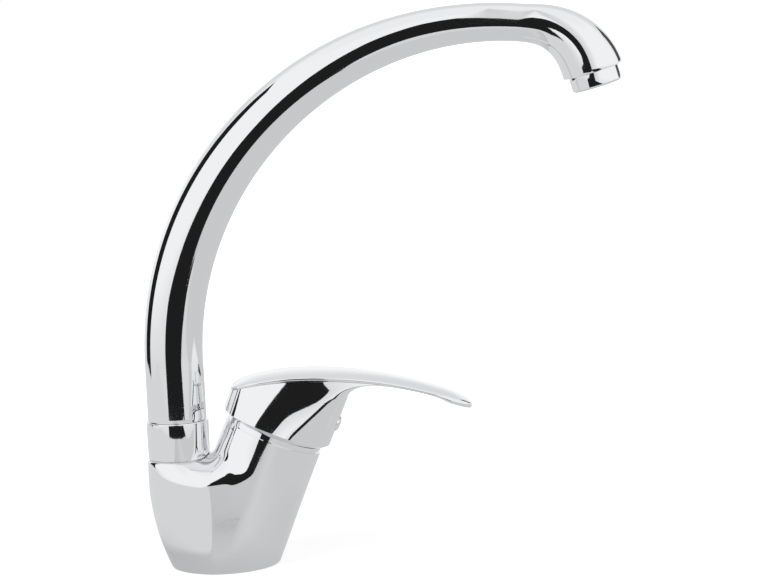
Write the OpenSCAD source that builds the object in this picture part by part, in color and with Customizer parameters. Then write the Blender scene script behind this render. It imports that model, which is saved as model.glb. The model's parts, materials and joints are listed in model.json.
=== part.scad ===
// Single lever basin tap with a high swivel spout.
// Millimetres. +Z up, +X towards the handle tip and the outlet, and
// the origin is the centre of the base where it meets the basin deck.

/* [Body casting] */
// Radius of the round base
base_r = 26.2; // [25:0.1:28]
// Lean of the cartridge tower from vertical, degrees
tower_tilt = 23.5; // [21:0.5:25]
// Outer radius of the cartridge tower
tower_r = 24.3; // [24:0.1:26]
// Distance of the tower rim's centre in front of the base centre
rim_x = 26.4; // [26:0.2:29]
// Height of the tower rim's centre
rim_z = 62.9; // [61:0.2:66]
// Height of the flat seat under the spout collar
seat_z = 52.9; // [51:0.1:54]
// Height at which the back of the body bulges most
bulge_z = 43; // [40:0.5:46]
// How far the body bulges behind the spout collar
bulge_out = 0.7; // [0.3:0.1:1.5]
// Height of the shoulder edge at the side crease
shoulder_side_z = 41.5; // [40:0.1:43]
// Height of the shoulder edge at the back
shoulder_back_z = 48; // [46:0.1:50]
// Distance of the side crease behind the base centre
crease_back = 3.5; // [2:0.1:5]

/* [Connections under the base] */
// Distance of the water inlets in front of the base centre
inlet_x = 5; // [4:0.1:6]
// Distance between the two water inlets
inlet_pitch = 17; // [16:0.1:18]
// Wall radius of the threaded water inlets
inlet_r = 4.5; // [4.4:0.05:4.6]
// Depth of the inlet threads
inlet_depth = 13; // [12:0.5:14]
// Distance of the fixing stud hole behind the base centre
stud_back = 11; // [10.5:0.1:12]
// Wall radius of the fixing stud hole
stud_r = 3.4; // [3.3:0.05:3.5]
// Depth of the fixing stud hole
stud_depth = 14; // [12:0.5:15]
// Middle radius of the base seal
seal_mid_r = 22; // [21.8:0.1:22.6]
// Width of the base seal
seal_w = 2.4; // [2:0.1:3]
// Thickness of the base seal
seal_t = 2; // [1.6:0.1:2.4]

/* [Cartridge] */
// Radius of the cartridge housing
cartridge_r = 20; // [19.8:0.05:20.1]
// Depth of the cartridge chamber below the tower rim
chamber_depth = 36; // [35.5:0.1:36.5]
// Thickness of the cartridge's bottom plate
bottom_t = 5; // [4.5:0.1:5.5]
// Thickness of the fixed ceramic disc
fixed_disc_t = 4; // [3.6:0.1:4.4]
// Radius of the fixed ceramic disc
fixed_disc_r = 15.5; // [15:0.1:15.7]
// Thickness of the moving ceramic disc
moving_disc_t = 3.5; // [3.2:0.1:3.8]
// Radius of the moving ceramic disc
moving_disc_r = 11; // [10.7:0.1:11]
// Radius of the cartridge neck
neck_r = 16.9; // [16.6:0.1:17.1]
// Depth of the housing shoulder below the tower rim
nut_depth = 9.9; // [9.5:0.1:10.5]
// Radius of the threads that hold the cartridge nut
nut_r = 22; // [21.8:0.05:22.1]
// Radius of the cover ring between tower and handle
cover_r = 23.5; // [23.4:0.1:23.7]
// Height of the cover ring's straight side
cover_h = 3.4; // [3:0.1:3.8]
// Depth of the handle's tilting pin below the tower rim
pivot_depth = 8; // [7.6:0.1:8.4]
// Radius of the tilting pin
pin_r = 1.5; // [1.4:0.05:1.7]
// Width across the flats of the square stem
stem_w = 7.2; // [7:0.1:7.5]
// Height of the stem's top above the tower rim
stem_top = 28; // [27:0.5:29]

/* [Spout] */
// Distance of the spout's turning axis behind the base centre
spout_back = 20.2; // [20:0.1:21]
// Radius of the collar at the foot of the spout
collar_r = 14.9; // [14.8:0.1:15.2]
// Height of the collar
collar_h = 18.4; // [17:0.2:20]
// Outer radius of the spout tube at its foot
riser_r = 14.2; // [14:0.1:14.4]
// Outer radius of the spout tube at its thinnest
slim_r = 9.1; // [8.8:0.1:10]
// Outer radius of the spout tube at its outlet
outlet_r = 14.7; // [14.4:0.1:15]
// Wall of the spout tube
tube_wall = 1.6; // [1.4:0.1:1.8]
// Height at which the straight riser ends
riser_top_z = 100; // [96:1:110]
// Radius of the spout's main arc
arc_r = 157.3; // [150:0.5:165]
// Angle swept by the main arc, degrees
arc_sweep = 99; // [97:0.5:101]
// Radius of the bend over the outlet
bend_r = 32; // [31:0.5:34]
// Angle between the outlet's axis and vertical, degrees
outlet_tilt = 15; // [12:0.5:18]
// Radius of the bore in the body that the spout turns in
socket_r = 10; // [9.9:0.05:10.1]
// Depth of that bore below the seat
socket_depth = 33; // [32:0.2:33.5]
// Radial clearance of the turning fit
running_gap = 0.07; // [0.05:0.01:0.09]
// Water bore of the spout's nipple
nipple_bore_r = 5.6; // [5.2:0.1:5.8]
// Height of the groove that the spout screw runs in
groove_z = 39.2; // [38.8:0.1:39.6]

/* [Aerator] */
// Radius of the aerator's visible ring
aerator_r = 12.25; // [12.2:0.01:12.5]
// Height of the aerator's visible ring
aerator_h = 7.5; // [7:0.1:8]
// Radius of the aerator's thread
aerator_thread_r = 12; // [11.9:0.05:12.1]
// Length of the aerator's thread
aerator_thread_l = 5; // [4.5:0.1:5.5]

/* [Handle] */
// Outer radius of the handle's cap, front to back
cap_r = 27.1; // [27:0.1:27.8]
// Half the width of the handle's cap across the tap at its foot
cap_side_r = 26.6; // [26.4:0.1:27.2]
// Radius of the hollow under the cap
hollow_r = 24.2; // [24.1:0.05:24.4]
// Height of the cap's lower edge above the tower rim
cap_foot = 3; // [2.8:0.1:3.2]
// Height of the bevel round the cap's lower edge
cap_bevel = 2.1; // [1.8:0.1:2.6]
// Half the width of the handle's top over the cap
top_half_w = 18; // [17.5:0.1:19]
// Half the width of the handle near its tip
tip_half_w = 12; // [11:0.1:13]
// Distance of the handle's tip in front of the base centre
tip_x = 123; // [118:0.5:128]
// Height of the top of the handle's back, above the deck
crest_z = 94.5; // [94:0.1:95.5]
// Radius of the handle's curve in front of the crest
front_arc_r = 206; // [195:1:220]
// Radius of the handle's curve behind the crest
back_arc_r = 120; // [110:1:130]
// Height of the crown across the handle
crown = 1.8; // [1.4:0.1:2.2]
// Thickness of the handle's thin edge
edge_t = 1.5; // [1.3:0.1:1.8]
// Extra thickness of the lip under the handle's tip
lip_t = 1.3; // [0.8:0.1:1.6]
// Thickness of metal over the hollow under the crest
roof_t = 3.7; // [3.4:0.1:4.2]
// Height of the index plug above the tower rim
plug_h = 16.2; // [15.6:0.1:16.8]
// Radius of the index plug
plug_r = 3.9; // [3.6:0.1:4.1]

/* [Hidden] */

$fn = 64;
// Lap that lets a cut run clear through a face
eps = 0.5;
// Clearance between pieces that are assembled by hand
slip = 0.1;
// Lift between flat faces that turn on each other
face_gap = 0.05;

chrome = [0.86, 0.87, 0.88];
brass = [0.79, 0.66, 0.36];
rubber = [0.08, 0.08, 0.09];
plastic = [0.88, 0.88, 0.84];
ceramic = [0.95, 0.95, 0.93];
steel = [0.62, 0.63, 0.65];

// Blends and small curves
function mix(a, b, t) = a + (b - a) * t;
function limit(t) = max(0, min(1, t));
function ease(t) = let(u = limit(t)) u * u * (3 - 2 * u);
function cubic(a, b, c, d, t) =
    a * pow(1 - t, 3) + 3 * b * pow(1 - t, 2) * t
    + 3 * c * (1 - t) * pow(t, 2) + d * pow(t, 3);

// Faces of a skin made of rings with n points each, closed at its first ring
function skin_faces(rings, n) = concat(
    [[for (i = [0:n - 1]) i]],
    [for (j = [0:rings - 2]) for (i = [0:n - 1]) let(k = (i + 1) % n)
        [j * n + i, (j + 1) * n + i, (j + 1) * n + k, j * n + k]]
);
function last_ring(rings, n) = [for (i = [0:n - 1]) rings * n - 1 - i];

// Directions of the leaning cartridge axis
up_x = sin(tower_tilt);
up_z = cos(tower_tilt);
rim = [rim_x, 0, rim_z];
function tower_pt(angle, r, h) = [
    rim_x + h * up_x + r * cos(angle) * up_z,
    r * sin(angle),
    rim_z + h * up_z - r * cos(angle) * up_x
];
function tower_x(z) = rim_x + (z - rim_z) * tan(tower_tilt);
// Point on the tower's side at a stated height
function tower_at(angle, z) =
    tower_pt(angle, tower_r, (z - rim_z + tower_r * cos(angle) * up_x) / up_z);

module at_rim() {
    translate(rim) rotate([0, tower_tilt, 0]) children();
}
module at_spout() {
    translate([-spout_back, 0, 0]) children();
}
module at_outlet() {
    translate([outlet_x, 0, outlet_z]) rotate([0, 180 - outlet_tilt, 0]) children();
}
// Round bar from one point to another
module bar(from, to, r) {
    d = to - from;
    translate(from)
        rotate([0, acos(d[2] / norm(d)), atan2(d[1], d[0])])
            cylinder(h = norm(d), r = r);
}
module ring(outer, inner, h) {
    difference() {
        cylinder(h = h, r = outer);
        translate([0, 0, -eps]) cylinder(h = h + 2 * eps, r = inner);
    }
}

// Body casting outline
base_bevel = 0.6;
tower_long_r = tower_r / up_z;
back_most = spout_back + collar_r + bulge_out;
back_rise = back_most - base_r;
back_arc = (bulge_z * bulge_z + back_rise * back_rise) / (2 * back_rise);
blend_z = 40;
front_x0 = max(tower_x(0), 1 - crease_back);
function half_width(z) = mix(base_r, tower_r, ease(z / blend_z));
function front_reach(z) = mix(base_r - front_x0, tower_long_r, limit(z / blend_z));
function back_reach(z) =
    back_most - back_arc + sqrt(back_arc * back_arc - pow(bulge_z - z, 2));
// Centre of the back's curve, in front of the axis
pinch_top = 8;
function pinch(z) = mix(crease_back, pinch_top, limit(z / blend_z));
function middle_x(z) = max(tower_x(z), front_x0);

crease_angle = 146;
side_steps = 6;
back_steps = 24;
front_steps = 12;
// Each line up the body is a front angle, a side share or a back share
body_lines = concat(
    [for (i = [0:front_steps]) ["front", 90 * i / front_steps, 1]],
    [for (i = [1:side_steps]) ["side", i / side_steps, 1]],
    [for (i = [1:back_steps - 1]) ["back", i / back_steps, 1]],
    [for (i = [side_steps:-1:1]) ["side", i / side_steps, -1]],
    [for (i = [-front_steps:-1]) ["front", 90 * i / front_steps, 1]]
);
body_n = len(body_lines);

function back_start(z) = acos(-(pinch(z) + crease_back) / (back_reach(z) + pinch(z)));
function back_pt(s, z) = let(
        centre = pinch(z),
        long = back_reach(z) + centre,
        start = back_start(z),
        wide = half_width(z) / sin(start),
        a = mix(start, 360 - start, s)
    ) [centre + long * cos(a), wide * sin(a), z];
function wall_pt(line, z, inset) = let(
        p = line[0] == "front"
            ? [middle_x(z) + front_reach(z) * cos(line[1]), half_width(z) * sin(line[1]), z]
            : line[0] == "side"
            ? [mix(middle_x(z), -crease_back, line[1]), line[2] * half_width(z), z]
            : back_pt(line[1], z),
        k = 1 - inset / base_r
    ) [p[0] * k, p[1] * k, p[2]];
function backness(line) =
    line[0] == "back" ? 1 - abs(2 * line[1] - 1) : 0;
// Height at which the shoulder line leaves the tower's widest point
shoulder_rise = 7.5;
shoulder_front_z = shoulder_side_z + shoulder_rise;
function rim_at(angle) = rim_z - tower_r * cos(angle) * up_x;
function shoulder_z(line) =
    line[0] == "front" ? shoulder_front_z + rim_at(line[1]) - rim_z
    : line[0] == "side"
    ? mix(shoulder_front_z, shoulder_side_z, 1 - pow(1 - line[1], 3))
    : mix(shoulder_side_z, shoulder_back_z, backness(line));
function foot_angle(line) =
    line[0] == "front" ? line[1]
    : line[0] == "side" ? line[2] * mix(90, crease_angle, line[1])
    : mix(crease_angle, 360 - crease_angle, line[1]);
floor_drop = 0.3;
floor_z = seat_z - floor_drop;
// Height above the shoulder at which the skin meets the tower in front
foot_rise = 4;
foot_swell = 3;
function foot_z(line) =
    line[0] == "front" ? shoulder_z(line) + foot_rise
    : line[0] == "side"
    ? mix(shoulder_z(line) + foot_rise, floor_z - floor_drop, ease(line[1]))
        + 4 * foot_swell * line[1] * (1 - line[1])
    : floor_z;
seat_edge_r = collar_r + 0.1;
// Swelling of the shoulder: none in front, full at the crease and behind it
function fullness(line) =
    line[0] == "front" ? 0 : line[0] == "side" ? ease(line[1] * 1.5) : 1;
// Shares of the way to the tower, inwards and upwards, in front and at the crease
crest_shares = [[0.5, 0.5], [0.09, 0.5]];
lead_shares = [[0.15, 0.15], [0.12, 0.3]];
function part_way(line, shares) = let(
        share = mix(shares[0], shares[1], fullness(line)),
        way = tower_at(foot_angle(line), foot_z(line)) - wall_pt(line, shoulder_z(line), 0)
    ) [way[0] * share[0], way[1] * share[0], way[2] * share[1]];
// How much a line follows the seat's edge
function seated(line) = ease(backness(line) * 3);
// Crest of the shoulder, which follows the seat's edge at the back
function crest_pt(line) = let(
        p = wall_pt(line, shoulder_z(line), 0),
        a = atan2(p[1], p[0] + spout_back),
        edge = [-spout_back + seat_edge_r * cos(a), seat_edge_r * sin(a), floor_z]
    ) mix(p + part_way(line, crest_shares), edge, seated(line));

wall_shares = [0, 0.02, 0.12, 0.25, 0.38, 0.51, 0.64, 0.76, 0.88, 1];
roll_steps = 5;
fillet_h = 5;
function body_pt(line, j) = let(
        z1 = shoulder_z(line),
        p1 = wall_pt(line, z1, 0),
        crest = crest_pt(line),
        foot = tower_at(foot_angle(line), foot_z(line)),
        p2 = tower_at(foot_angle(line), foot_z(line) + fillet_h),
        top = tower_pt(foot_angle(line), tower_r, 0),
        walls = len(wall_shares),
        lead = mix(part_way(line, lead_shares), (foot - crest) * 0.02, seated(line))
    )
    j < walls
    ? wall_pt(line, max(z1 * wall_shares[j], j == 0 ? 0 : base_bevel), j == 0 ? base_bevel : 0)
    : j < walls + roll_steps
    ? let(t = (j - walls + 1) / roll_steps,
          lift = (crest[2] - p1[2]) * mix(0.2, 0.8, backness(line)))
      cubic(p1, p1 + (p1 - wall_pt(line, z1 - 1, 0)) * lift, crest - lead, crest, t)
    : j < walls + 2 * roll_steps
    ? let(t = (j - walls - roll_steps + 1) / roll_steps,
          after = mix(crest + lead, mix(crest, foot, 0.6), seated(line)))
      cubic(crest, after, foot, p2, t)
    : let(t = (j - walls - 2 * roll_steps + 1) / 2)
      mix(p2, top, t);
body_rings = len(wall_shares) + 2 * roll_steps + 2;

// Waterways inside the body
port_r = 2.8;
inlet_port = [7, 4.2];
outlet_port = [-3.5, 0];
outlet_port_r = 2.9;
drill_r = 3.1;
seat_drill_r = 3.5;
inlet_y = inlet_pitch / 2;
socket_z = seat_z - socket_depth;
function port_at(p, h) = [
    rim_x + h * up_x + p[0] * up_z,
    p[1],
    rim_z + h * up_z - p[0] * up_x
];
boss_depth = 9;
// Radius of the flat that is faced for the collar
seat_r = collar_r + 0.4;

// Screw that holds the spout down, and the groove it runs in
screw_r = 2.5;
screw_tip_r = 1.3;
screw_gap = 0.3;
screw_head_x = back_most - 0.8;
groove_floor_r = 8.3;
groove_w = 3.2;
// Small hexagon sockets, 2.5 across the flats
hex_r = 2.5 / sqrt(3);
hex_depth = 2.5;
module hex_socket() {
    cylinder(h = hex_depth + eps, r = hex_r, $fn = 6);
}

// Spout centre line
arc_end = 180 - arc_sweep;
arc_centre = [-spout_back + arc_r, riser_top_z];
bend_centre = arc_centre + (arc_r - bend_r) * [cos(arc_end), sin(arc_end)];
outlet_x = bend_centre[0] + bend_r * cos(outlet_tilt);
outlet_z = bend_centre[1] + bend_r * sin(outlet_tilt);
washer_t = 0.4;
washer_inset = 0.5;
washer_gap = 0.3;
collar_z = seat_z + washer_t + face_gap;
collar_top_z = collar_z + collar_h;
riser_l = riser_top_z - collar_top_z;
arc_l = arc_r * arc_sweep * PI / 180;
bend_l = bend_r * (arc_end - outlet_tilt) * PI / 180;
spout_l = riser_l + arc_l + bend_l;
// Place and heading of the spout's centre line at a distance from its foot
function spout_turn(s) =
    s < riser_l ? 180
    : s < riser_l + arc_l ? 180 - (s - riser_l) / arc_r * 180 / PI
    : arc_end - (s - riser_l - arc_l) / bend_r * 180 / PI;
function spout_pt(s) = let(a = spout_turn(s))
    s < riser_l ? [-spout_back, collar_top_z + s]
    : s < riser_l + arc_l ? arc_centre + arc_r * [cos(a), sin(a)]
    : bend_centre + bend_r * [cos(a), sin(a)];
slim_s = riser_l + arc_l * 0.97;
flare_l = spout_l - slim_s;
function spout_r(s) = s < slim_s
    ? mix(riser_r, slim_r, ease(pow(s / slim_s, 1.8)))
    : mix(slim_r, outlet_r, ease((s - slim_s) / flare_l));
tube_n = 36;
function tube_ring(s, r) = let(a = spout_turn(s), p = spout_pt(s))
    [for (i = [0:tube_n - 1]) let(t = 360 * i / tube_n)
        [p[0] + r * cos(t) * cos(a), r * sin(t), p[1] + r * cos(t) * sin(a)]];
rim_round = 0.5;
outer_stops = concat(
    [rim_round, riser_l / 2],
    [for (i = [0:24]) riser_l + arc_l * i / 24],
    [for (i = [1:9]) riser_l + arc_l + bend_l * i / 10],
    [spout_l - rim_round]
);
inner_stops = concat(
    [0],
    [for (i = [0:16]) riser_l + arc_l * i / 16],
    [for (i = [1:3]) riser_l + arc_l + bend_l * i / 5],
    [spout_l]
);
// Inside radius, drawn in behind the seat of the aerator
inlet_neck_r = 10.6;
function bore_r(s) = min(spout_r(s) - tube_wall, inlet_neck_r + max(0, slim_s - s));
tube_skin = concat(
    [tube_ring(0, spout_r(0) - rim_round)],
    [for (s = outer_stops) tube_ring(s, spout_r(s))],
    [tube_ring(spout_l, spout_r(spout_l) - rim_round)],
    [for (i = [len(inner_stops) - 1:-1:0]) tube_ring(inner_stops[i], bore_r(inner_stops[i]))]
);

// Nipple that joins the spout to the body, with its grooves
shank_r = riser_r - tube_wall - slip;
shank_wall = 2;
nipple_foot_z = socket_z + 4;
shank_top_z = collar_top_z + 9;
o_ring_r = 1.2;
o_ring_z = [34, 44.5];
o_groove_w = 3;
slide_ring_z = [26, 48.6];
slide_ring_h = 2.4;
o_groove_r = 7.5;
slide_groove_r = 8.8;

// Aerator
gasket_t = 1.6;
gasket_bore_r = 9;
aerator_seat = aerator_thread_l + gasket_t;
aerator_bore_r = 10.4;
aerator_lip = 1;
mesh_t = 0.5;
mesh_wire = 0.4;
mesh_pitch = 2.4;
mesh_span = 7.2;
mesh_reach = 9.2;
mesh_rim = 1.5;

// Handle outline, seen from above
function spine_z(x) = x > crest_x
    ? crest_z - front_arc_r + sqrt(front_arc_r * front_arc_r - pow(x - crest_x, 2))
    : crest_z - back_arc_r + sqrt(back_arc_r * back_arc_r - pow(x - crest_x, 2));
crest_x = tower_x(crest_z);
tip_round = 17;
neck_x = tip_x - tip_round;
// Widest place of the top outline, in front of the crest
side_ahead = 4;
side_x = crest_x + side_ahead;
// Distance that the top reaches behind the cap
back_lap = 3.6;
back_end_x = crest_x - cap_r / up_z - back_lap;
side_share = 0.62;
// Height up the cap that the lines in front aim for
aim_h = 41;
// Powers that push out the corners behind, on the cap and on the top outline
cap_power = 2.6;
top_power = 3.4;
function swollen(a, power) = [for (c = [cos(a), sin(a)]) sign(c) * pow(abs(c), 2 / power)];
// Point of the top outline for a side share from 0 (widest) to 1 (tip)
function outline(u) = u < side_share
    ? let(t = u / side_share)
      cubic([side_x, top_half_w], [side_x + 18, top_half_w],
            [neck_x - 26, tip_half_w + 0.6], [neck_x, tip_half_w], t)
    : let(a = 90 * (1 - (u - side_share) / (1 - side_share)))
      [neck_x + tip_round * cos(a), tip_half_w * sin(a)];
back_n = 22;
side_n = 15;
handle_lines = concat(
    [for (i = [0:back_n]) ["back", 90 + 180 * i / back_n, 1]],
    [for (i = [1:side_n]) ["side", i / side_n, -1]],
    [for (i = [side_n - 1:-1:1]) ["side", i / side_n, 1]]
);
handle_n = len(handle_lines);
function handle_edge(line) = line[0] == "back"
    ? let(p = swollen(line[1], top_power)) [mix(side_x, back_end_x, -p[0]), top_half_w * p[1]]
    : [outline(line[1])[0], line[2] * outline(line[1])[1]];
function handle_angle(line) = line[0] == "back" ? line[1]
    : line[2] * mix(90, 0, pow(line[1], 0.8));
function edge_thick(x) = edge_t + lip_t * ease((x - neck_x) / 8);
// Point of the cap's side, which is round in front and fuller behind
function wall_ring(a, h) = let(
        p = swollen(a, cos(a) < 0 ? cap_power : 2),
        c = tower_pt(0, 0, h)
    ) [c[0] + cap_r * p[0] * up_z, cap_side_r * p[1], c[2] - cap_r * p[0] * up_x];
crown_shares = [0.9, 0.7, 0.45, 0.2];
// Strips across the handle's back, between matching points of the last ring
function back_strip(first) = let(half = back_n / 2, tip = back_n + side_n) concat(
    [for (i = [0:half - 2]) [first + i + 1, first + i, first + back_n - i, first + back_n - i - 1]],
    [[first + half, first + half - 1, first + half + 1]],
    [for (k = [0:side_n - 2]) [
        first + (handle_n - k) % handle_n, first + handle_n - k - 1,
        first + back_n + k + 1, first + back_n + k
    ]],
    [[first + tip + 1, first + tip, first + tip - 1]]
);
keep_back_x = back_end_x + 15;
keep_front_x = tip_x - 13;
wall_steps = [0.36, 0.68];
under_steps = [0.2, 0.4, 0.62, 0.82];
low_ring = 2 + len(wall_steps) + len(under_steps);
// Lap of the skin's first ring inside the hollow
lip_lap = 0.4;
function low_z(x) = spine_z(x) - crown - edge_thick(x);
function handle_pt(line, j) = let(
        e = handle_edge(line),
        a = handle_angle(line),
        high = [e[0], e[1], spine_z(e[0]) - crown],
        low = [e[0], e[1], low_z(e[0])],
        foot = wall_ring(a, cap_foot + cap_bevel),
        lip = tower_pt(a, hollow_r - lip_lap, cap_foot),
        front = line[0] == "side" ? ease(line[1] * 1.5) : 0,
        wall_top = mix(low, wall_ring(a, aim_h), front),
        start = mix(foot, wall_top, wall_steps[1])
    )
    j == 0 ? lip
    : j == 1 ? foot
    : j < 4 ? mix(foot, wall_top, wall_steps[j - 2])
    : j < low_ring
    ? let(t = under_steps[j - 4],
          p = mix(start, low, pow(t, 1.6)),
          sweep = [p[0], p[1], low_z(p[0]) - (low_z(start[0]) - start[2]) * pow(1 - t, 3)])
      mix(mix(start, low, t), sweep, front)
    : j == low_ring ? low
    : j == low_ring + 1 ? high
    : let(f = crown_shares[j - low_ring - 2],
          keep = max(keep_back_x, min(keep_front_x, e[0])),
          x = mix(keep, e[0], f))
      [x, e[1] * f, spine_z(x) - crown * f * f];
handle_rings = low_ring + 2 + len(crown_shares);

// Cartridge heights, measured up from the tower rim
floor_h = -chamber_depth;
fixed_h = floor_h + bottom_t;
moving_h = fixed_h + fixed_disc_t + face_gap;
carrier_h = moving_h + moving_disc_t;
carrier_t = 5;
guide_lift = 0.3;
guide_h = carrier_h + carrier_t + guide_lift;
guide_r = neck_r - 1.5;
guide_top = 3.5;
neck_top = 4.5;
lip_r = guide_r - 1.6;
// Distance of the pin's ends inside the guide's side
pin_inset = 0.6;
// Room round the moving disc for its stroke
disc_room_r = fixed_disc_r + 1;
// Ball at the stem's foot, and the hole that it drives the disc by
ball_r = 2.4;
ball_h = carrier_h + carrier_t / 2;
ball_neck_r = 1.8;
ball_hole_h = 3.6;
ball_mouth_r = 4;
recess_x = -3;
recess_r = 6;
recess_depth = 2;
// Lower end of the stem's square part
stem_foot = -pivot_depth - 5;
seal_depth = 1.5;
seal_rim = 1.2;
nut_head = 2;
nut_head_r = 20.5;
hollow_straight = 7;
hollow_top = 27;
hollow_top_r = 14.6;
boss_r = 8;
boss_foot = 14.5;
grub_r = 2.5;
grub_l = 6;
// Depth of the index plug's recess, its peg and its dome
plug_seat = 1.6;
plug_peg = 1.2;
plug_dome = 1.4;

module body_casting() color(chrome) {
    difference() {
        union() {
            polyhedron(
                points = [for (j = [0:body_rings - 1]) for (line = body_lines) body_pt(line, j)],
                faces = concat(skin_faces(body_rings, body_n), [last_ring(body_rings, body_n)])
            );
            at_spout() translate([0, 0, seat_z - boss_depth]) cylinder(h = boss_depth, r = collar_r);
        }
        at_rim() translate([0, 0, floor_h]) cylinder(h = chamber_depth + eps, r = cartridge_r + slip);
        at_rim() translate([0, 0, -nut_depth]) cylinder(h = nut_depth + eps, r = nut_r);
        at_spout() translate([0, 0, socket_z]) cylinder(h = socket_depth + eps, r = socket_r);
        at_spout() translate([0, 0, seat_z]) cylinder(h = collar_h, r = seat_r);
        for (side = [-1, 1]) {
            translate([inlet_x, side * inlet_y, -eps]) cylinder(h = inlet_depth + eps, r = inlet_r);
            bar([inlet_x, side * inlet_y, inlet_depth - 1],
                port_at([inlet_port[0], side * inlet_port[1]], floor_h + eps), drill_r);
        }
        bar(port_at(outlet_port, floor_h + eps), [-spout_back, 0, socket_z + seat_drill_r - 1],
            seat_drill_r);
        translate([-stud_back, 0, -eps]) cylinder(h = stud_depth + eps, r = stud_r);
        translate([0, 0, -eps]) ring(seal_mid_r + seal_w / 2, seal_mid_r - seal_w / 2, seal_t + eps);
        translate([-back_most - eps, 0, groove_z]) rotate([0, 90, 0])
            cylinder(h = back_most - spout_back, r = screw_r);
    }
}
module base_seal() color(rubber) {
    ring(seal_mid_r + seal_w / 2 - slip, seal_mid_r - seal_w / 2 + slip, seal_t);
}
module spout_screw() color(steel) {
    translate([-screw_head_x, 0, groove_z]) rotate([0, 90, 0]) difference() {
        union() {
            cylinder(h = screw_head_x - spout_back - socket_r - screw_gap, r = screw_r);
            cylinder(h = screw_head_x - spout_back - groove_floor_r - screw_gap, r = screw_tip_r);
        }
        translate([0, 0, -eps]) hex_socket();
    }
}
module swivel_washer() color(plastic) {
    at_spout() translate([0, 0, seat_z]) ring(collar_r - washer_inset, socket_r + washer_gap, washer_t);
}

// Cartridge
module at_ports(h) {
    at_rim() translate([0, 0, h]) {
        for (side = [-1, 1]) translate([inlet_port[0], side * inlet_port[1], 0]) children(0);
        translate([outlet_port[0], outlet_port[1], 0]) children(1);
    }
}
module port_seals() color(rubber) {
    at_ports(floor_h) {
        ring(port_r + seal_rim, port_r + 0.2, seal_depth);
        ring(outlet_port_r + seal_rim, outlet_port_r + 0.2, seal_depth);
    }
}
module cartridge_bottom() color(plastic) {
    difference() {
        at_rim() translate([0, 0, floor_h]) cylinder(h = bottom_t, r = cartridge_r);
        at_ports(floor_h - eps) {
            cylinder(h = bottom_t + 2 * eps, r = port_r);
            cylinder(h = bottom_t + 2 * eps, r = outlet_port_r);
        }
        at_ports(floor_h - eps) {
            cylinder(h = seal_depth + eps, r = port_r + seal_rim);
            cylinder(h = seal_depth + eps, r = outlet_port_r + seal_rim);
        }
    }
}
module fixed_disc() color(ceramic) {
    difference() {
        at_rim() translate([0, 0, fixed_h]) cylinder(h = fixed_disc_t, r = fixed_disc_r);
        at_ports(fixed_h - eps) {
            cylinder(h = fixed_disc_t + 2 * eps, r = port_r);
            cylinder(h = fixed_disc_t + 2 * eps, r = outlet_port_r);
        }
    }
}
module moving_disc() color(ceramic) {
    at_rim() difference() {
        translate([0, 0, moving_h]) cylinder(h = moving_disc_t, r = moving_disc_r);
        translate([recess_x, 0, moving_h - eps]) cylinder(h = recess_depth + eps, r = recess_r);
    }
}
module disc_carrier() color(plastic) {
    at_rim() difference() {
        translate([0, 0, carrier_h]) cylinder(h = carrier_t, r = moving_disc_r);
        translate([0, 0, carrier_h - eps]) cylinder(h = carrier_t + 2 * eps, r = ball_r + slip);
        translate([0, 0, carrier_h + ball_hole_h]) cylinder(h = carrier_t, r = ball_mouth_r);
    }
}
module cartridge_housing() color(plastic) {
    at_rim() difference() {
        union() {
            translate([0, 0, fixed_h]) cylinder(h = -nut_depth - fixed_h, r = cartridge_r);
            translate([0, 0, fixed_h]) cylinder(h = neck_top - fixed_h, r = neck_r);
        }
        translate([0, 0, fixed_h - eps]) cylinder(h = fixed_disc_t + 2 * eps, r = fixed_disc_r + slip);
        translate([0, 0, moving_h - face_gap]) cylinder(h = guide_h - moving_h, r = disc_room_r);
        translate([0, 0, moving_h]) cylinder(h = guide_top - moving_h, r = guide_r + running_gap);
        translate([0, 0, guide_top - eps]) cylinder(h = neck_top - guide_top + 2 * eps, r = lip_r);
    }
}
module stem_carrier() color(plastic) {
    at_rim() difference() {
        translate([0, 0, guide_h]) cylinder(h = guide_top - face_gap - guide_h, r = guide_r);
        stem_slot();
        translate([0, guide_r + eps, -pivot_depth]) rotate([90, 0, 0])
            cylinder(h = 2 * (guide_r + eps), r = pin_r);
    }
}
// Room in the turning guide for the stem's swing, all of it backwards on top
slot_side = 0.3;
slot_waist = 0.8;
slot_foot = [1.6, 4.6];
slot_head = 5.2;
module stem_slot() {
    half = stem_w / 2;
    wide = half + slot_side;
    translate([0, wide, 0]) rotate([90, 0, 0]) linear_extrude(height = 2 * wide) polygon([
        [-half - slot_foot[0], guide_h - eps], [half + slot_foot[1], guide_h - eps],
        [half + slot_waist, -pivot_depth], [half + slot_waist, guide_top + eps],
        [-half - slot_head, guide_top + eps], [-half - slot_waist, -pivot_depth]
    ]);
}
module stem_pin() color(steel) {
    half = guide_r - pin_inset;
    at_rim() translate([0, half, -pivot_depth]) rotate([90, 0, 0])
        cylinder(h = 2 * half, r = pin_r);
}
module cartridge_nut() color(brass) {
    at_rim() difference() {
        union() {
            translate([0, 0, -nut_depth]) cylinder(h = nut_depth, r = nut_r);
            cylinder(h = nut_head, r = nut_head_r, $fn = 6);
        }
        translate([0, 0, -nut_depth - eps])
            cylinder(h = nut_depth + nut_head + 2 * eps, r = neck_r + slip);
    }
}
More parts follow.
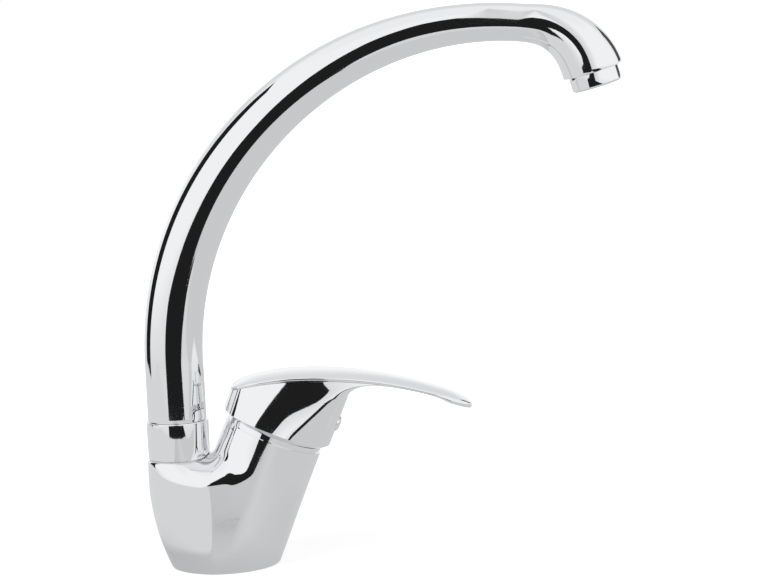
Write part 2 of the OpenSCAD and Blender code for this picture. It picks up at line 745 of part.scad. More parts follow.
// Height of the cover ring's dome, and its clearances round neck and nut
cover_rise = 4;
cover_neck_gap = 0.7;
cover_nut_gap = 0.3;
module cover_ring() color(chrome) {
    top_h = cover_h + cover_rise;
    open_r = neck_r + cover_neck_gap;
    wall = cover_r - nut_r - cover_nut_gap;
    at_rim() rotate_extrude($fn = 96) polygon(concat(
        [[cover_r - wall, 0], [cover_r, 0], [cover_r, cover_h]],
        [for (t = [0.2:0.2:1]) [mix(cover_r, open_r, t), cover_h + (top_h - cover_h) * sin(90 * t)]],
        [for (t = [1:-0.2:0]) [mix(cover_r - wall, open_r, t),
            cover_h - wall + (top_h - cover_h) * sin(90 * t)]]
    ));
}

// Handle
module lever_handle() color(chrome) {
    difference() {
        polyhedron(
            points = [for (j = [0:handle_rings - 1]) for (line = handle_lines) handle_pt(line, j)],
            faces = concat(skin_faces(handle_rings, handle_n), back_strip((handle_rings - 1) * handle_n))
        );
        difference() {
            intersection() {
                at_rim() {
                    translate([0, 0, -eps]) cylinder(h = hollow_straight + eps, r = hollow_r);
                    translate([0, 0, hollow_straight])
                        cylinder(h = hollow_top - hollow_straight, r1 = hollow_r, r2 = hollow_top_r);
                }
                translate([crest_x, 40, crest_z - back_arc_r]) rotate([90, 0, 0])
                    cylinder(h = 80, r = back_arc_r - roof_t, $fn = 180);
            }
            at_rim() translate([0, 0, boss_foot]) cylinder(h = hollow_top - boss_foot, r = boss_r);
        }
        at_rim() translate([-stem_w / 2, -stem_w / 2, boss_foot - eps])
            cube([stem_w, stem_w, stem_top - boss_foot + eps]);
        at_rim() translate([stem_w / 2, 0, plug_h]) rotate([0, 90, 0])
            cylinder(h = cap_r - stem_w / 2, r = grub_r);
        at_rim() translate([cap_r - plug_seat, 0, plug_h]) rotate([0, 90, 0])
            cylinder(h = plug_seat + 3, r = plug_r + slip);
    }
}
module lever_stem() color(brass) {
    half = stem_w / 2;
    at_rim() difference() {
        union() {
            translate([-half, -half, stem_foot]) cube([stem_w, stem_w, stem_top - stem_foot]);
            translate([0, 0, ball_h]) cylinder(h = stem_foot + eps - ball_h, r = ball_neck_r);
            translate([0, 0, ball_h]) sphere(r = ball_r);
        }
        translate([0, half + eps, -pivot_depth]) rotate([90, 0, 0])
            cylinder(h = stem_w + 2 * eps, r = pin_r + running_gap);
    }
}
module grub_screw() color(steel) {
    at_rim() translate([stem_w / 2, 0, plug_h]) rotate([0, 90, 0]) difference() {
        cylinder(h = grub_l, r = grub_r);
        translate([0, 0, grub_l - hex_depth]) hex_socket();
    }
}
module index_plug() color(chrome) {
    at_rim() translate([cap_r - plug_seat, 0, plug_h]) rotate([0, 90, 0]) {
        translate([0, 0, -plug_peg]) cylinder(h = plug_peg, r = grub_r - slip);
        rotate_extrude($fn = 48) polygon(concat(
            [[0, 0], [plug_r, 0]],
            [for (a = [0:15:90]) [plug_r * cos(a), plug_seat + plug_dome * sin(a)]]
        ));
    }
}

// Spout
module spout_tube() color(chrome) {
    difference() {
        polyhedron(
            points = [for (r = tube_skin) for (p = r) p],
            faces = [for (j = [0:len(tube_skin) - 1]) for (i = [0:tube_n - 1]) let(
                    k = (i + 1) % tube_n,
                    m = (j + 1) % len(tube_skin)
                ) [j * tube_n + k, j * tube_n + i, m * tube_n + i, m * tube_n + k]]
        );
        at_outlet() translate([0, 0, -aerator_seat])
            cylinder(h = aerator_seat + eps, r = aerator_thread_r);
    }
}
// Bevels at the collar's foot and top, and how far it flares upwards
collar_foot_bevel = 0.3;
collar_top_bevel = 0.4;
collar_flare = 0.2;
module spout_collar() color(chrome) {
    top_r = collar_r + collar_flare;
    at_spout() translate([0, 0, collar_z]) rotate_extrude($fn = 96) polygon([
        [shank_r + slip, 0], [collar_r - collar_foot_bevel, 0], [collar_r, collar_foot_bevel],
        [top_r, collar_h - collar_top_bevel], [top_r - collar_top_bevel, collar_h],
        [shank_r + slip, collar_h]
    ]);
}
module spout_nipple() color(brass) {
    at_spout() difference() {
        union() {
            translate([0, 0, nipple_foot_z])
                cylinder(h = collar_z - nipple_foot_z + eps, r = socket_r - running_gap);
            translate([0, 0, collar_z]) cylinder(h = shank_top_z - collar_z, r = shank_r);
        }
        translate([0, 0, nipple_foot_z - eps])
            cylinder(h = shank_top_z - nipple_foot_z + 2 * eps, r = nipple_bore_r);
        translate([0, 0, collar_z + shank_wall * 2])
            cylinder(h = shank_top_z - collar_z, r = shank_r - shank_wall);
        for (z = o_ring_z) translate([0, 0, z - o_groove_w / 2]) ring(socket_r + 1, o_groove_r, o_groove_w);
        for (z = slide_ring_z) translate([0, 0, z]) ring(socket_r + 1, slide_groove_r, slide_ring_h);
        translate([0, 0, groove_z - groove_w / 2]) ring(socket_r + 1, groove_floor_r, groove_w);
    }
}
module slide_ring(z) {
    at_spout() translate([0, 0, z + face_gap])
        ring(socket_r - running_gap / 2, slide_groove_r, slide_ring_h - 2 * face_gap);
}
module upper_slide_ring() color(plastic) slide_ring(slide_ring_z[1]);
module lower_slide_ring() color(plastic) slide_ring(slide_ring_z[0]);
module o_ring(z) {
    at_spout() translate([0, 0, z]) rotate_extrude($fn = 64)
        translate([o_groove_r + o_ring_r, 0]) circle(r = o_ring_r, $fn = 24);
}
module upper_o_ring() color(rubber) o_ring(o_ring_z[1]);
module lower_o_ring() color(rubber) o_ring(o_ring_z[0]);

// Aerator
module aerator_gasket() color(rubber) {
    at_outlet() translate([0, 0, -aerator_seat]) ring(aerator_thread_r - slip, gasket_bore_r, gasket_t);
}
module aerator_housing() color(chrome) {
    at_outlet() rotate_extrude($fn = 96) polygon([
        [aerator_bore_r, -aerator_thread_l], [aerator_thread_r, -aerator_thread_l],
        [aerator_thread_r, 0], [aerator_r, 0],
        [aerator_r, aerator_h - aerator_lip], [aerator_r - aerator_lip, aerator_h],
        [aerator_bore_r - aerator_lip, aerator_h],
        [aerator_bore_r - aerator_lip, aerator_h - aerator_lip],
        [aerator_bore_r, aerator_h - aerator_lip]
    ]);
}
// Jet holes of the aerator: radius of each circle, number of holes and first angle
jet_circles = [[6.6, 12, 0], [3.4, 6, 15]];
jet_r = 0.9;
insert_wall = 1.3;
plate_t = 3;
module aerator_insert() color(plastic) {
    insert_h = aerator_thread_l + aerator_h - aerator_lip - mesh_t;
    at_outlet() translate([0, 0, -aerator_thread_l]) difference() {
        cylinder(h = insert_h, r = aerator_bore_r);
        translate([0, 0, plate_t]) cylinder(h = insert_h, r = aerator_bore_r - insert_wall);
        for (circle = jet_circles) for (i = [0:circle[1] - 1])
            rotate([0, 0, 360 / circle[1] * i + circle[2]]) translate([circle[0], 0, -eps])
                cylinder(h = plate_t + 2 * eps, r = jet_r);
    }
}
module aerator_mesh() color(steel) {
    at_outlet() translate([0, 0, aerator_h - aerator_lip - mesh_t])
        ring(aerator_bore_r, aerator_bore_r - mesh_rim, mesh_t);
    at_outlet() translate([0, 0, aerator_h - aerator_lip - mesh_t / 2]) for (a = [0, 90])
        rotate([0, 0, a]) for (y = [-mesh_span:mesh_pitch:mesh_span]) mesh_bar(y);
}
module mesh_bar(y) {
    half = sqrt(mesh_reach * mesh_reach - y * y);
    translate([-half, y - mesh_wire / 2, -mesh_wire / 2]) cube([2 * half, mesh_wire, mesh_wire]);
}

body_casting();
base_seal();
spout_screw();
swivel_washer();
port_seals();
cartridge_bottom();
fixed_disc();
cartridge_housing();
cartridge_nut();
cover_ring();
spout_tube();
spout_collar();
spout_nipple();
upper_slide_ring();
lower_slide_ring();
upper_o_ring();
lower_o_ring();
aerator_gasket();
aerator_housing();
aerator_insert();
aerator_mesh();
stem_carrier();
stem_pin();
moving_disc();
disc_carrier();
lever_stem();
lever_handle();
grub_screw();
index_plug();
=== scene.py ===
# %% [markdown]
# # Dressing a chrome basin tap
#
# The CAD model of this tap is right in size but made of flat facets, and
# polished chrome shows every facet as a broken reflection. In this lesson each
# visible piece is modelled again over its CAD solid with a smooth skin, gets a
# finish made of shader nodes, and is photographed in a white studio whose
# black cards draw the dark bands that make metal look like metal. Pieces that
# hardly show keep their CAD solid and only get a finish.

# %% Load the CAD frame
import json
import math

import bpy
import numpy as np
from mathutils import Matrix, Vector

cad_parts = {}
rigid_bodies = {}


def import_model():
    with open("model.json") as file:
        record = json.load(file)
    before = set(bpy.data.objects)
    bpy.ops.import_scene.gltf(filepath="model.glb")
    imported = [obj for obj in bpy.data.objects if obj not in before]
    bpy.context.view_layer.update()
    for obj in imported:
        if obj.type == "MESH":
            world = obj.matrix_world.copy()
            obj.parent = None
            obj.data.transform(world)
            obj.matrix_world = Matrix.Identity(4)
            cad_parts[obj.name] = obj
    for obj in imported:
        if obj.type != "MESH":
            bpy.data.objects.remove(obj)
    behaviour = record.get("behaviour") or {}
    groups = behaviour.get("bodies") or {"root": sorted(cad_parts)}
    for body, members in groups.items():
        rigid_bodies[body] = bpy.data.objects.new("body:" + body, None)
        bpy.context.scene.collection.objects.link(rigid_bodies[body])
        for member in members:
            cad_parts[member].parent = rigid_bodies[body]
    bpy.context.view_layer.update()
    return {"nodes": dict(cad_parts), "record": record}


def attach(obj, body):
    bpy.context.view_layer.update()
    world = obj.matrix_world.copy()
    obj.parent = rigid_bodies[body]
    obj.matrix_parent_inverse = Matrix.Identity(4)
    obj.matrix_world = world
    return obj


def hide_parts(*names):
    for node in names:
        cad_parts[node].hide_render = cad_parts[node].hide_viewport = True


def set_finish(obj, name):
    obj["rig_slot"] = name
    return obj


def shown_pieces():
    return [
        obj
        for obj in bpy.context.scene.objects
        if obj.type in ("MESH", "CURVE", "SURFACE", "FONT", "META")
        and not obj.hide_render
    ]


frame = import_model()
MM = 0.001

# %% [markdown]
# ## Small tools
#
# Blender's operators act on whatever is selected, so a lesson in operators
# starts with a helper that selects a single object and one that opens it for
# editing. The next ones do what is repeated: merging doubled corners, joining
# or cutting two solids, and shading a finished piece smooth.


# %% Selecting, editing and closing a piece
def pick(piece):
    bpy.ops.object.select_all(action="DESELECT")
    piece.select_set(True)
    bpy.context.view_layer.objects.active = piece


def edit_all(piece, *steps):
    """Runs edit-mode operators on the whole piece, in turn."""
    pick(piece)
    bpy.ops.object.mode_set(mode="EDIT")
    for step, options in steps:
        bpy.ops.mesh.select_all(action="SELECT")
        step(**options)
    bpy.ops.object.mode_set(mode="OBJECT")


def weld(piece, distance=1e-6):
    """Merges doubled corners and turns every face outwards."""
    edit_all(
        piece,
        (bpy.ops.mesh.remove_doubles, {"threshold": distance}),
        (bpy.ops.mesh.normals_make_consistent, {"inside": False}),
    )


def combine(piece, tool, operation):
    """Joins a second solid to the piece, or cuts it out, and throws the tool away."""
    step = piece.modifiers.new(operation.title(), "BOOLEAN")
    step.operation = operation
    step.solver = "EXACT"
    step.object = tool
    pick(piece)
    bpy.ops.object.modifier_apply(modifier=step.name)
    bpy.data.objects.remove(tool)


def smooth(piece, degrees=30):
    pick(piece)
    bpy.ops.object.shade_smooth_by_angle(angle=math.radians(degrees))


# %% [markdown]
# Two local frames return again and again. The cartridge and handle share an
# axis that leans forwards, and the spout turns about an upright axis behind the
# base centre. A piece is made at the origin of its own frame and then set in
# place by a matrix that acts on its mesh, so its object stays at the world's
# origin.

# %% The tower's frame and the spout's
tower_tilt = 23.5
rim_x = 26.4
rim_z = 62.9
spout_back = 20.2
seat_z = 52.9
lean = math.radians(tower_tilt)
tower_up = np.array([math.sin(lean), 0, math.cos(lean)])
tower_out = np.array([math.cos(lean), 0, -math.sin(lean)])
rim = np.array([rim_x, 0, rim_z])
tower_frame = Matrix.Translation(Vector(rim * MM)) @ Matrix.Rotation(lean, 4, "Y")
spout_frame = Matrix.Translation((-spout_back * MM, 0, 0))
print("the tower leans", tower_tilt, "degrees forwards")


def set_in(piece, place, body, *nodes, slot=None):
    """Moves the mesh into place, puts it on its body and hides the CAD nodes it replaces.
    """
    piece.data.transform(place)
    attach(piece, body)
    if nodes:
        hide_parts(*nodes)
    if slot:
        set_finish(piece, slot)


# %% [markdown]
# ## Turned pieces
#
# Rings, collars and bushes of a tap come off a lathe. A bevelled cylinder could
# stand for them, but one outline holds the bore, the chamfers and the lip at
# once. So the same is done here: a closed outline is drawn in the XZ plane from
# a circle whose corners are moved one by one, its corners are rounded with the
# bevel operator, and the spin operator turns it into a solid.


# %% A lathe made of a circle, a bevel and a spin
def turn(name, outline, rounding=0.0, steps=144):
    """Solid of revolution from a closed outline of (radius, height) in mm."""
    bpy.ops.object.select_all(action="DESELECT")
    bpy.ops.mesh.primitive_circle_add(vertices=len(outline), radius=MM)
    piece = bpy.context.object
    piece.name = piece.data.name = name
    for corner, (radius, height) in zip(piece.data.vertices, outline):
        corner.co = (radius * MM, 0, height * MM)
    rounds = (
        bpy.ops.mesh.bevel,
        {"affect": "VERTICES", "offset": rounding * MM, "segments": 4},
    )
    spin = (
        bpy.ops.mesh.spin,
        {"steps": steps, "angle": math.tau, "center": (0, 0, 0), "axis": (0, 0, 1)},
    )
    edit_all(piece, *([rounds] if rounding else []), spin)
    weld(piece)
    smooth(piece)
    return piece


# %% [markdown]
# ## Cast and bent pieces
#
# The body, the spout and the handle have no simple outline to turn. They could
# be pulled out of a cube and smoothed, but then their sizes would only be near
# the real ones, and chrome shows every dent of such a surface. So each is a
# skin stretched over cross-sections: a flat grid is added, and every corner of
# it is carried to the place that the piece's own curves give for its column
# and row. The seam is merged, and open ends are filled.


# %% A grid laid over a curved surface
def stretch(name, columns, rows, place):
    """Closed skin of rings, where place(column, row) gives a corner in mm."""
    bpy.ops.object.select_all(action="DESELECT")
    bpy.ops.mesh.primitive_grid_add(
        x_subdivisions=columns, y_subdivisions=rows - 1, size=1
    )
    piece = bpy.context.object
    piece.name = piece.data.name = name
    for corner in piece.data.vertices:
        column = round((corner.co.x + 0.5) * columns) % columns
        row = round((corner.co.y + 0.5) * (rows - 1))
        corner.co = Vector(place(column, row)) * MM
    weld(piece)
    return piece


def fill_ends(piece):
    """Closes the open ends of a skin with flat faces."""
    pick(piece)
    bpy.ops.object.mode_set(mode="EDIT")
    bpy.ops.mesh.select_all(action="DESELECT")
    bpy.ops.mesh.select_mode(type="EDGE")
    bpy.ops.mesh.select_non_manifold(extend=False)
    bpy.ops.mesh.edge_face_add()
    bpy.ops.object.mode_set(mode="OBJECT")
    edit_all(piece, (bpy.ops.mesh.normals_make_consistent, {"inside": False}))


def mix(a, b, t):
    return a + (b - a) * t


def limit(t):
    return min(max(t, 0.0), 1.0)


def ease(t):
    t = limit(t)
    return t * t * (3 - 2 * t)


def cubic(a, b, c, d, t):
    """Point of the curve that leaves a towards b and reaches d from c."""
    s = 1 - t
    return a * s**3 + 3 * b * s * s * t + 3 * c * s * t * t + d * t**3


# %% [markdown]
# ## The body casting
#
# The body is one brass casting. A round base rises as a leaning tower in front
# and as a bulging column behind, with a crease down each side where the two
# meet, and a soft valley between the tower and the spout's seat. Its wall is
# three curves side by side: half an ellipse in front, a straight share at the
# side, and most of an ellipse behind.

# %% Outline of the body at any height
base_r = 26.2
tower_r = 24.3
tower_long = tower_r / math.cos(lean)
collar_r = 14.9
bulge_z = 43
crease, centre_high = 3.5, 8
seat_ledge = 0.7
back_most = spout_back + collar_r + seat_ledge
back_rise = back_most - base_r
back_arc = (bulge_z**2 + back_rise**2) / (2 * back_rise)
blend_z = 40
front_x0 = max(rim_x - rim_z * math.tan(lean), 1 - crease)
print("the body reaches", round(back_most, 1), "mm behind the base centre")


def tower_point(angle, radius, height):
    return (
        rim
        + height * tower_up
        + radius * math.cos(angle) * tower_out
        + np.array([0, radius * math.sin(angle), 0])
    )


def tower_x(z):
    return rim_x + (z - rim_z) * math.tan(lean)


def tower_at(angle, z):
    """Point of the tower's side at a height above the deck."""
    height = (z - rim_z + tower_r * math.cos(angle) * math.sin(lean)) / math.cos(lean)
    return tower_point(angle, tower_r, height)


def wall(part, share, side, z):
    """Point of the upright wall. The share runs once along each part of it."""
    half = mix(base_r, tower_r, ease(z / blend_z))
    middle = max(tower_x(z), front_x0)
    if part == "front":
        reach = mix(base_r - front_x0, tower_long, limit(z / blend_z))
        angle = share * math.pi / 2
        return np.array([middle + reach * math.cos(angle), half * math.sin(angle), z])
    if part == "side":
        return np.array([mix(middle, -crease, share), side * half, z])
    centre = mix(crease, centre_high, limit(z / blend_z))
    reach = back_most - back_arc + math.sqrt(back_arc**2 - (bulge_z - z) ** 2)
    start = math.acos(-(centre + crease) / (reach + centre))
    angle = mix(start, math.tau - start, share)
    wide = half / math.sin(start)
    along = centre + (reach + centre) * math.cos(angle)
    return np.array([along, wide * math.sin(angle), z])


# %% [markdown]
# Above the wall the skin rolls over a shoulder, dips into the valley and
# climbs the tower to its rim. Every line of the wall knows the height at which
# its shoulder starts and the point of the tower that it climbs to.

# %% From the shoulder to the tower's rim
shoulder_side, shoulder_back, front_rise = 41.5, 48, 7.5
shoulder_front = shoulder_side + front_rise
foot_rise, foot_swell = 4, 3
swell_pace, seat_pace, drop_power = 1.5, 3, 3
crease_angle = math.radians(146)
fillet = 5
floor_z = seat_z - 0.3
side_foot_z = seat_z - 0.6
seat_gap = 0.1


def behind(part, share):
    """How far round the back a line stands: 0 up to the crease, 1 in the middle."""
    return 1 - abs(2 * share - 1) if part == "back" else 0


def seated(part, share):
    """How closely the shoulder follows the spout's seat."""
    return ease(behind(part, share) * seat_pace)


def line_data(part, share, side):
    """Shoulder height, tower angle and foot height of one line up the body."""
    if part == "front":
        angle = share * math.pi / 2
        shoulder = shoulder_front - tower_r * math.cos(angle) * math.sin(lean)
        return shoulder, angle, shoulder + foot_rise
    if part == "side":
        shoulder = mix(shoulder_front, shoulder_side, 1 - (1 - share) ** drop_power)
        angle = side * mix(math.pi / 2, crease_angle, share)
        swell = 4 * foot_swell * share * (1 - share)
        return shoulder, angle, mix(shoulder + foot_rise, side_foot_z, ease(share)) + swell
    angle = mix(crease_angle, math.tau - crease_angle, share)
    return mix(shoulder_side, shoulder_back, behind(part, share)), angle, floor_z


def fullness(part, share):
    """How far the shoulder swells outwards: not in front, fully from the crease."""
    return {"front": 0, "side": ease(share * swell_pace), "back": 1}[part]


crest_shares = [(0.5, 0.5), (0.09, 0.5)]
lead_shares = [(0.15, 0.15), (0.12, 0.3)]
lift_shares = [0.2, 0.8]
seated_lead, seated_after = 0.02, 0.6


def part_way(shares, full):
    """Shares of the way inwards and upwards, between those in front and at the crease."""
    inwards, upwards = mix(np.array(shares[0]), np.array(shares[1]), full)
    return np.array([inwards, inwards, upwards])


def crest(part, share, start, foot):
    """Highest point of the shoulder, which follows the spout's seat behind."""
    middle = mix(start, foot, part_way(crest_shares, fullness(part, share)))
    if part != "back":
        return middle
    angle = math.atan2(start[1], start[0] + spout_back)
    reach = collar_r + seat_gap
    edge = np.array(
        [reach * math.cos(angle) - spout_back, reach * math.sin(angle), floor_z]
    )
    return mix(middle, edge, seated(part, share))


front_n, side_n, back_n = 40, 24, 96
body_lines = (
    [("front", i / front_n, 1) for i in range(front_n + 1)]
    + [("side", i / side_n, 1) for i in range(1, side_n + 1)]
    + [("back", i / back_n, 1) for i in range(1, back_n)]
    + [("side", i / side_n, -1) for i in range(side_n, 0, -1)]
    + [("front", i / front_n, 1) for i in range(-front_n, 0)]
)
wall_n, roll_n, climb_n = 34, 16, 4
bevel_stops = [(0.0, 0.6), (0.18, 0.18), (0.6, 0.0)]
body_rows = len(bevel_stops) + wall_n + 2 * roll_n + climb_n


def body_corner(column, row):
    line = body_lines[column]
    shoulder, angle, foot_z = line_data(*line)
    start = wall(*line, shoulder)
    foot = tower_at(angle, foot_z)
    above = tower_at(angle, foot_z + fillet)
    if row < len(bevel_stops):
        z, inset = bevel_stops[row]
        spot = wall(*line, z)
        return spot * np.array([1 - inset / base_r, 1 - inset / base_r, 1])
    row -= len(bevel_stops) - 1
    if row <= wall_n:
        return wall(*line, mix(bevel_stops[-1][0], shoulder, row / wall_n))
    part, share, _ = line
    top = crest(part, share, start, foot)
    lead = (foot - start) * part_way(lead_shares, fullness(part, share))
    lead = mix(lead, (foot - top) * seated_lead, seated(part, share))
    row -= wall_n
    if row <= roll_n:
        lift = (top[2] - start[2]) * mix(*lift_shares, behind(part, share))
        rise = (start - wall(*line, shoulder - 1)) * lift
        return cubic(start, start + rise, top - lead, top, row / roll_n)
    row -= roll_n
    if row <= roll_n:
        after = mix(top + lead, mix(top, foot, seated_after), seated(part, share))
        return cubic(top, after, foot, above, row / roll_n)
    return mix(above, tower_point(angle, tower_r, 0), (row - roll_n) / climb_n)


body_skin = stretch("body_skin", len(body_lines), body_rows, body_corner)
fill_ends(body_skin)
print("body skin:", len(body_skin.data.polygons), "faces")


# %% [markdown]
# A casting is drilled after it is cast. The seat for the collar is joined
# first. Then cylinders are added where the real drills go, and cut out: the
# room for the collar, the nut's seat, the cartridge chamber, the spout's
# socket, the two water inlets, the stud hole and the hole of the spout screw
# in the back. The groove of the base seal is turned, and cut out last.


# %% Seat, chamber, socket and threaded holes
def rod(radius, low, high, place=None, vertices=96):
    """Plain cylinder between two heights of a local frame, in mm."""
    bpy.ops.object.select_all(action="DESELECT")
    bpy.ops.mesh.primitive_cylinder_add(
        vertices=vertices,
        radius=radius * MM,
        depth=(high - low) * MM,
        location=(0, 0, (low + high) / 2 * MM),
    )
    tool = bpy.context.object
    bpy.ops.object.transform_apply(location=True, rotation=True, scale=True)
    if place is not None:
        tool.data.transform(place)
    return tool


screw_z = 39.2
screw_place = Matrix.Translation((-back_most * MM, 0, screw_z * MM)) @ Matrix.Rotation(
    math.pi / 2, 4, "Y"
)
screw_r, screw_depth = 2.5, 14.8
inlet_x, inlet_y, inlet_r, inlet_depth = 5, 8.5, 4.5, 13
stud_back, stud_r, stud_depth = 11, 3.4, 14
seat_boss, collar_room, collar_h = 9, 0.4, 18.4
nut_r, nut_floor = 22, -9.9
chamber_r, chamber_floor, chamber_top = 20.1, -36, -9
socket_r, socket_floor = 10, 19.9
groove_in, groove_out, groove_depth = 20.8, 23.2, 2
past = 1

combine(body_skin, rod(collar_r, seat_z - seat_boss, seat_z, spout_frame, 160), "UNION")
drills = [
    rod(collar_r + collar_room, seat_z, seat_z + collar_h, spout_frame, 160),
    rod(nut_r, nut_floor, past, tower_frame, 160),
    rod(chamber_r, chamber_floor, chamber_top, tower_frame, 128),
    rod(socket_r, socket_floor, seat_z + past, spout_frame),
]
for side in (-1, 1):
    spot = Matrix.Translation((inlet_x * MM, side * inlet_y * MM, 0))
    drills.append(rod(inlet_r, -past, inlet_depth, spot, 48))
stud_place = Matrix.Translation((-stud_back * MM, 0, 0))
drills += [
    rod(stud_r, -past, stud_depth, stud_place, 48),
    rod(screw_r, -past, screw_depth, screw_place, 48),
]
for drill in drills:
    combine(body_skin, drill, "DIFFERENCE")
groove = turn(
    "groove",
    [
        (groove_in, -past),
        (groove_out, -past),
        (groove_out, groove_depth),
        (groove_in, groove_depth),
    ],
)
combine(body_skin, groove, "DIFFERENCE")
smooth(body_skin, 24)
set_in(body_skin, Matrix.Identity(4), "body", "body_casting", slot="chrome_body")
print("drilled body:", len(body_skin.data.polygons), "faces")

# %% [markdown]
# ## The swan-neck spout
#
# The spout is a brass tube that was drawn thinner towards its end, bent to a
# long arc and a short one, and flared to take the aerator. A curve with a round
# bevel would follow the same line, but the thickness changes along the way and
# the mouth has to be open, so this skin is stretched too. Its centre line is a
# riser, an arc of 157 mm radius and a bend of 32 mm, and one function gives the
# place and heading at any distance along it.

# %% Centre line and thickness of the spout
washer_h = 0.45
collar_z = seat_z + washer_h
collar_top = collar_z + collar_h
riser_top = 100
riser_r, slim_r, outlet_r = 14.2, 9.1, 14.7
arc_r, arc_sweep = 157.3, math.radians(99)
bend_r, outlet_tilt = 32, math.radians(15)
arc_end = math.pi - arc_sweep
arc_centre = np.array([arc_r - spout_back, riser_top])
bend_centre = arc_centre + (arc_r - bend_r) * np.array(
    [math.cos(arc_end), math.sin(arc_end)]
)
riser_l = riser_top - collar_top
arc_l = arc_r * arc_sweep
bend_l = bend_r * (arc_end - outlet_tilt)
spout_l = riser_l + arc_l + bend_l
slim_share, thinning = 0.97, 1.8
slim_s = riser_l + arc_l * slim_share
print("the spout's centre line is", round(spout_l, 1), "mm long")


def spout_line(s):
    """Place (x, z) and heading angle of the centre line, s mm from its foot."""
    if s < riser_l:
        return np.array([-spout_back, collar_top + s]), math.pi
    if s < riser_l + arc_l:
        angle = math.pi - (s - riser_l) / arc_r
        return arc_centre + arc_r * np.array([math.cos(angle), math.sin(angle)]), angle
    angle = arc_end - (s - riser_l - arc_l) / bend_r
    return bend_centre + bend_r * np.array([math.cos(angle), math.sin(angle)]), angle


def spout_radius(s):
    if s < slim_s:
        return mix(riser_r, slim_r, ease((s / slim_s) ** thinning))
    return mix(slim_r, outlet_r, ease((s - slim_s) / (spout_l - slim_s)))


# %% [markdown]
# The skin starts at the foot, runs up the outside, rolls over the rim at the
# outlet and comes back down the inside, so the tube has a real wall and a
# mouth that the aerator screws into.

# %% The tube
tube_round = 0.5
round_step, round_drop = 0.12, 0.15
bore_r, bore_depth = 12, 6.6
throat_r, throat_lip, tube_wall = 10.6, 2, 1.6
outer_n, inner_n = 240, 60
bore_end = spout_l - bore_depth
tube_rows = [
    (0.0, riser_r - tube_round),
    (round_step, riser_r - round_drop),
    (tube_round, riser_r),
]
for i in range(1, outer_n + 1):
    s = mix(tube_round, spout_l - tube_round, i / outer_n)
    tube_rows.append((s, spout_radius(s)))
tube_rows += [
    (spout_l - round_step, outlet_r - round_drop),
    (spout_l, outlet_r - tube_round),
    (spout_l, bore_r),
    (bore_end, bore_r),
    (bore_end, throat_r),
]
tube_rows += [
    (s, min(spout_radius(s) - tube_wall, throat_r + max(0, slim_s - s)))
    for s in np.linspace(bore_end - throat_lip, 0, inner_n)
]
tube_n = 112


def tube_corner(column, row):
    s, radius = tube_rows[row % len(tube_rows)]
    place, heading = spout_line(s)
    angle = math.tau * column / tube_n
    out = radius * math.cos(angle)
    return np.array(
        [
            place[0] + out * math.cos(heading),
            radius * math.sin(angle),
            place[1] + out * math.sin(heading),
        ]
    )


spout_skin = stretch("spout_skin", tube_n, len(tube_rows) + 1, tube_corner)
smooth(spout_skin, 35)
set_in(spout_skin, Matrix.Identity(4), "spout", "spout_tube", slot="chrome_spout")
print("spout skin:", len(spout_skin.data.polygons), "faces")

# %% [markdown]
# ## Collar and cover ring
#
# Two turned rings close the joints of the tap. The collar at the foot of the
# spout widens very slightly upwards, and a domed ring closes the gap between
# the tower and the handle. The thin slide washer, which shows as a line under
# the collar, keeps its CAD solid.

# %% Turned rings
collar_bore = 12.7
foot_bevel, top_bevel, collar_flare = 0.3, 0.4, 0.2
collar = turn(
    "collar",
    [
        (collar_bore, 0),
        (collar_r - foot_bevel, 0),
        (collar_r, foot_bevel),
        (collar_r + collar_flare, collar_h - top_bevel),
        (collar_r + collar_flare - top_bevel, collar_h),
        (collar_bore, collar_h),
    ],
    rounding=0.12,
)
set_in(
    collar,
    spout_frame @ Matrix.Translation((0, 0, collar_z * MM)),
    "spout",
    "spout_collar",
    slot="chrome_spout",
)

cover_r, cover_h, cover_open = 23.5, 3.4, 17.6
cover_rise, cover_wall = 4, 1.2
quarter = [math.radians(a) for a in range(0, 91, 9)]


def dome_line(radius, height):
    """Outline of a dome from its side up to the cover's opening."""
    return [
        (mix(radius, cover_open, a / (math.pi / 2)), height + cover_rise * math.sin(a))
        for a in quarter
    ]


outside = dome_line(cover_r, cover_h)
inside = dome_line(cover_r - cover_wall, cover_h - cover_wall)
cover = turn(
    "cover", [(cover_r - cover_wall, 0), (cover_r, 0)] + outside + inside[::-1]
)
set_in(cover, tower_frame, "body", "cover_ring", slot="chrome_body")
ring_faces = [len(ring.data.polygons) for ring in (collar, cover)]
print("collar and cover ring:", *ring_faces, "faces")

# %% [markdown]
# ## The handle
#
# The handle is a zinc casting: a cap over the cartridge that flows out into a
# long thin lever. Two edges give it its shape, so its skin is stretched between
# them and not sculpted. The lower edge is a circle square to the leaning axis,
# the upper one a long drop shape seen from above, and every line of the skin
# runs from one to the other, round the thin rim, and across the crowned back.

# %% Outline of the handle's back, seen from above
cap_r, cap_side_r = 27.1, 26.6
cap_foot, cap_bevel = 3, 2.1
cap_power, top_power = 2.6, 3.4
hollow_r = 24.2
top_half, tip_half, tip_x = 18, 12, 123
crest_z, front_arc, back_curve = 94.5, 206, 120
crown, edge_t, lip_t = 1.8, 1.5, 1.3
crest_x = tower_x(crest_z)
tip_round = 17
neck_x = tip_x - tip_round
side_ahead, side_lead, neck_lead, neck_swell = 4, 18, 26, 0.6
side_x = crest_x + side_ahead
back_lap, lip_lap = 3.6, 8
back_end = crest_x - cap_r / math.cos(lean) - back_lap
side_share = 0.62
print("the handle is", round(tip_x - back_end, 1), "mm long")


def spine(x):
    """Height of the back's middle line."""
    arc = front_arc if x > crest_x else back_curve
    return crest_z - arc + math.sqrt(arc * arc - (x - crest_x) ** 2)


def swollen(angle, power):
    """Point of a unit circle, pushed out at its corners by a power above 2."""
    return [
        math.copysign(abs(part) ** (2 / power), part)
        for part in (math.cos(angle), math.sin(angle))
    ]


